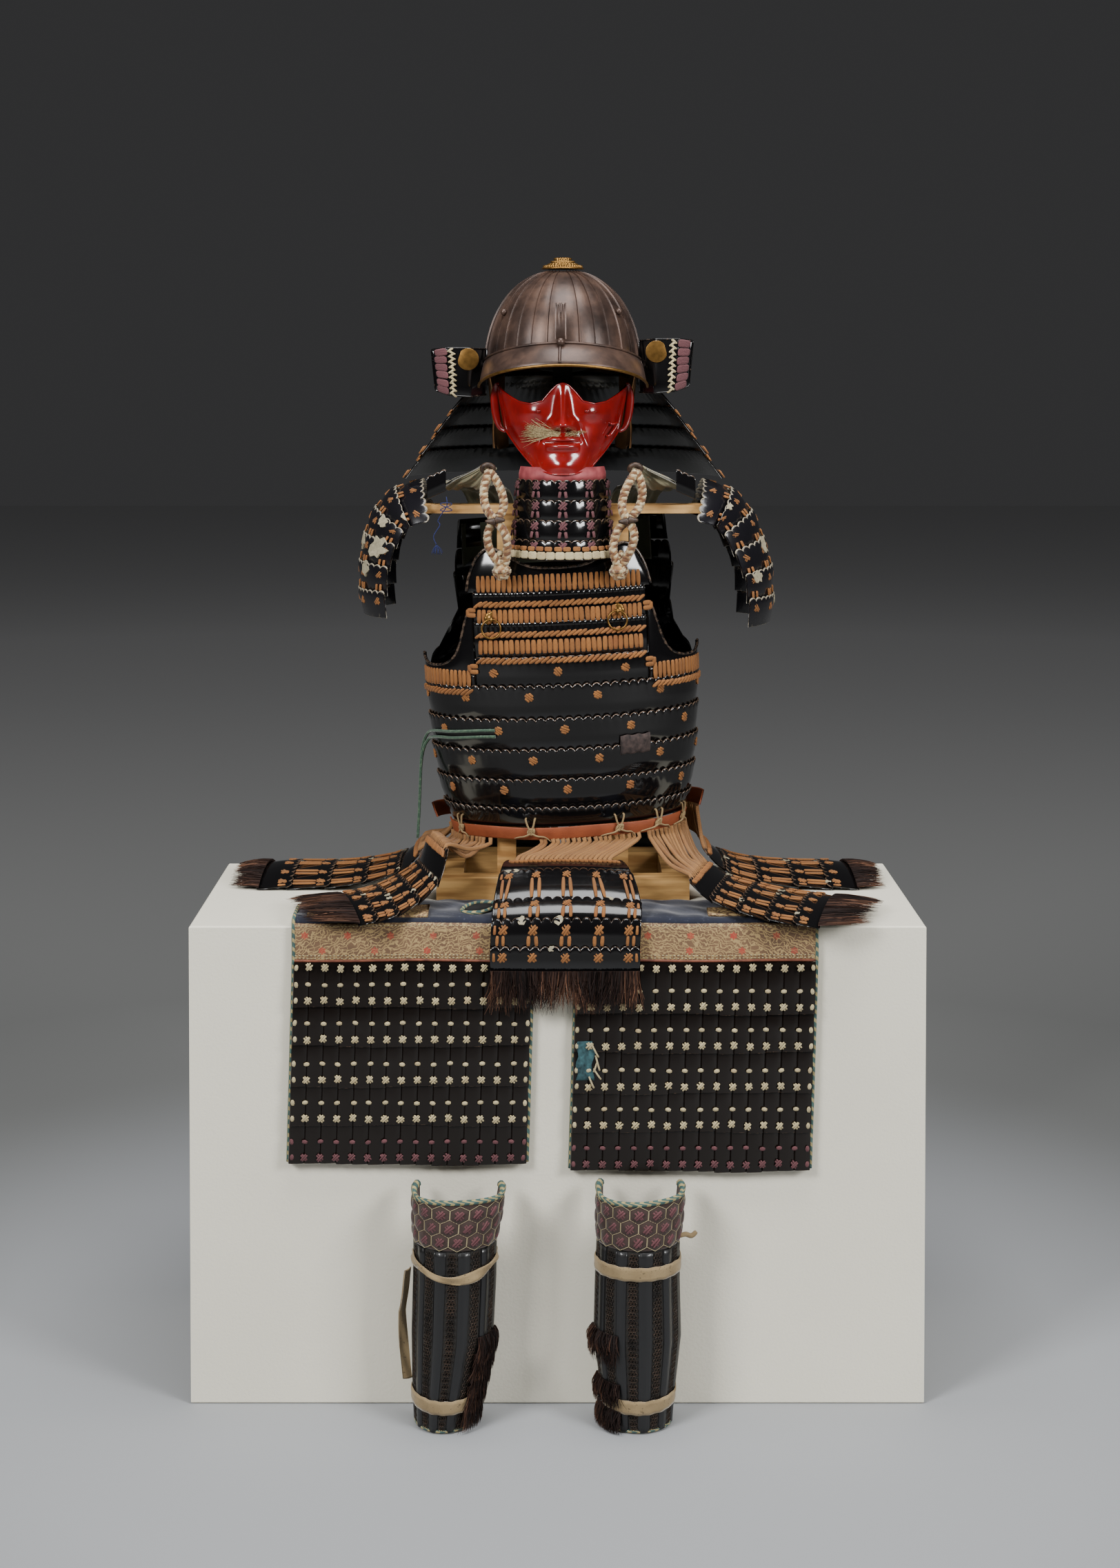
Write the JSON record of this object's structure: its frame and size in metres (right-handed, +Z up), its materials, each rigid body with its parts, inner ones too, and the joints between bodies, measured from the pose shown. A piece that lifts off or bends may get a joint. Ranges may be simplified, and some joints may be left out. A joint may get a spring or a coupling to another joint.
{
  "type": "samurai armour on wooden stand and white plinth",
  "caption": "Laced-lame samurai armour with helmet, red face mask, shoulder, thigh and shin guards, shown on a wooden stand and a white display plinth",
  "frame": {"origin": "centre of the bounding box's underside, on the floor under the plinth", "axes": "+Z up; -Y the way the armour faces; +X to the right of someone looking at its front, which is the wearer's left"},
  "size_m": [1, 0.5938, 1.5734],
  "materials": {
    "plinth_paint": "matte off-white paint on board",
    "stand_wood": "satin varnished softwood",
    "russet_iron": "satin russeted iron, ribbed",
    "black_lacquer": "gloss black lacquer on hide and iron scales, laced with orange-brown silk",
    "red_lacquer": "gloss red lacquer on iron",
    "gilt": "satin gilt copper, worn",
    "belt_leather": "matte smoked leather",
    "printed_leather": "matte printed deerskin",
    "indigo_cloth": "matte quilted cloth",
    "strap_cloth": "matte worn cloth",
    "tie_cloth": "matte printed cloth band",
    "knee_cloth": "matte quilted cloth with hexagon plates",
    "pale_cord": "matte braided silk cord",
    "green_cord": "matte braided silk cord"
  },
  "bodies": {
    "armour": {"plinth": "plinth_paint", "stand_base": "stand_wood", "stand_upright_left": "stand_wood", "stand_upright_right": "stand_wood", "shoulder_bar": "stand_wood", "head_post": "stand_wood", "helmet_bowl": "russet_iron", "helmet_brim": "russet_iron", "crown_finial": "gilt", "crest_holder": "gilt", "round_plate_left": "gilt", "round_plate_right": "gilt", "ring_stud_left": "gilt", "ring_stud_right": "gilt", "face_mask": "red_lacquer", "chest_board": "black_lacquer", "armhole_board_left": "black_lacquer", "armhole_board_right": "black_lacquer", "neck_guard": "black_lacquer", "throat_guard": "black_lacquer", "waist_front": "black_lacquer", "waist_back": "black_lacquer", "chest_lames": "black_lacquer", "back_lames": "black_lacquer", "back_board": "black_lacquer", "shoulder_guard_left": "black_lacquer", "shoulder_guard_right": "black_lacquer", "skirt_front": "black_lacquer", "skirt_front_left": "black_lacquer", "skirt_front_right": "black_lacquer", "skirt_back_left": "black_lacquer", "skirt_back_right": "black_lacquer", "skirt_rear_left": "black_lacquer", "skirt_rear_right": "black_lacquer", "thigh_plates_left": "black_lacquer", "thigh_plates_right": "black_lacquer", "shin_shell_left": "black_lacquer", "shin_shell_right": "black_lacquer", "turn_back_left": "printed_leather", "turn_back_right": "printed_leather", "thigh_band_left": "printed_leather", "thigh_band_right": "printed_leather", "belt_front": "belt_leather", "belt_back": "belt_leather", "thigh_cloth": "indigo_cloth", "shoulder_strap_left": "strap_cloth", "shoulder_strap_right": "strap_cloth", "knee_guard_left": "knee_cloth", "knee_guard_right": "knee_cloth", "tie_band_upper_left": "tie_cloth", "tie_band_upper_right": "tie_cloth", "tie_band_lower_left": "tie_cloth", "tie_band_lower_right": "tie_cloth", "tie_strap": "tie_cloth", "strap_cord_left": "pale_cord", "strap_cord_right": "pale_cord", "side_cord_upper": "green_cord", "side_cord_lower": "green_cord"},
    "ring_left": {"chest_ring_left": "gilt"},
    "ring_right": {"chest_ring_right": "gilt"}
  },
  "joints": [
    {"name": "ring_left_swing", "type": "hinge", "parent": "armour", "child": "ring_left", "pos_m": [-0.09318, -0.04893, 1.05649], "axis": [-1, 0, 0], "range_deg": [0, 120]},
    {"name": "ring_right_swing", "type": "hinge", "parent": "armour", "child": "ring_right", "pos_m": [0.08572, -0.05291, 1.06962], "axis": [-1, 0, 0], "range_deg": [0, 120]}
  ]
}
